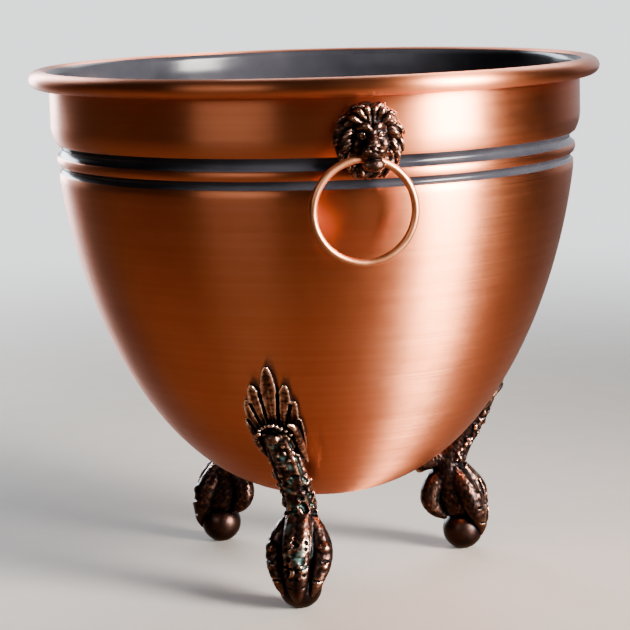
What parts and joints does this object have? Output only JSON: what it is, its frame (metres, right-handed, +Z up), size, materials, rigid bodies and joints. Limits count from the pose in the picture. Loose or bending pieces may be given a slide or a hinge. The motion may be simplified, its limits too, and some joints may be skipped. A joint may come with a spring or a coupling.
{
  "type": "footed planter pot",
  "caption": "Spun copper planter pot on claw-and-ball feet, with hinged ring handles hanging from lion masks.",
  "frame": {"origin": "on the pot's axis, at the level of the surface that the three balls stand on", "axes": "+Z up along the pot's axis; -Y towards the front lion mask, +Y towards the rear one; +X to the right as seen facing the front mask"},
  "size_m": [0.254, 0.2616, 0.232],
  "materials": {
    "satin_copper": "spun copper, brushed to a satin and lacquered; black lacquer inside and in the two grooves",
    "antiqued_casting": "copper-plated casting, darkened in the recesses and bright on the high points",
    "copper_wire": "satin copper wire",
    "zinc_plated_steel": "zinc-plated"
  },
  "bodies": {
    "pot": {"bowl": "satin_copper", "foot_front": "antiqued_casting", "foot_right": "antiqued_casting", "foot_left": "antiqued_casting", "lion_mask_front": "antiqued_casting", "lion_mask_rear": "antiqued_casting", "foot_screw_front_upper": "zinc_plated_steel", "foot_screw_front_lower": "zinc_plated_steel", "foot_screw_right_upper": "zinc_plated_steel", "foot_screw_right_lower": "zinc_plated_steel", "foot_screw_left_upper": "zinc_plated_steel", "foot_screw_left_lower": "zinc_plated_steel", "mask_screw_front": "zinc_plated_steel", "mask_screw_rear": "zinc_plated_steel", "foot_washer_front_upper": "zinc_plated_steel", "foot_washer_front_lower": "zinc_plated_steel", "foot_washer_right_upper": "zinc_plated_steel", "foot_washer_right_lower": "zinc_plated_steel", "foot_washer_left_upper": "zinc_plated_steel", "foot_washer_left_lower": "zinc_plated_steel", "mask_washer_front": "zinc_plated_steel", "mask_washer_rear": "zinc_plated_steel"},
    "ring_front": {"ring_handle_front": "copper_wire"},
    "ring_rear": {"ring_handle_rear": "copper_wire"}
  },
  "joints": [
    {"name": "ring_front_swing", "type": "hinge", "parent": "pot", "child": "ring_front", "pos_m": [0, -0.1255, 0.1994], "axis": [-1, 0, 0], "range_deg": [-17, 172]},
    {"name": "ring_rear_swing", "type": "hinge", "parent": "pot", "child": "ring_rear", "pos_m": [0, 0.1255, 0.1994], "axis": [1, 0, 0], "range_deg": [-17, 172]}
  ]
}
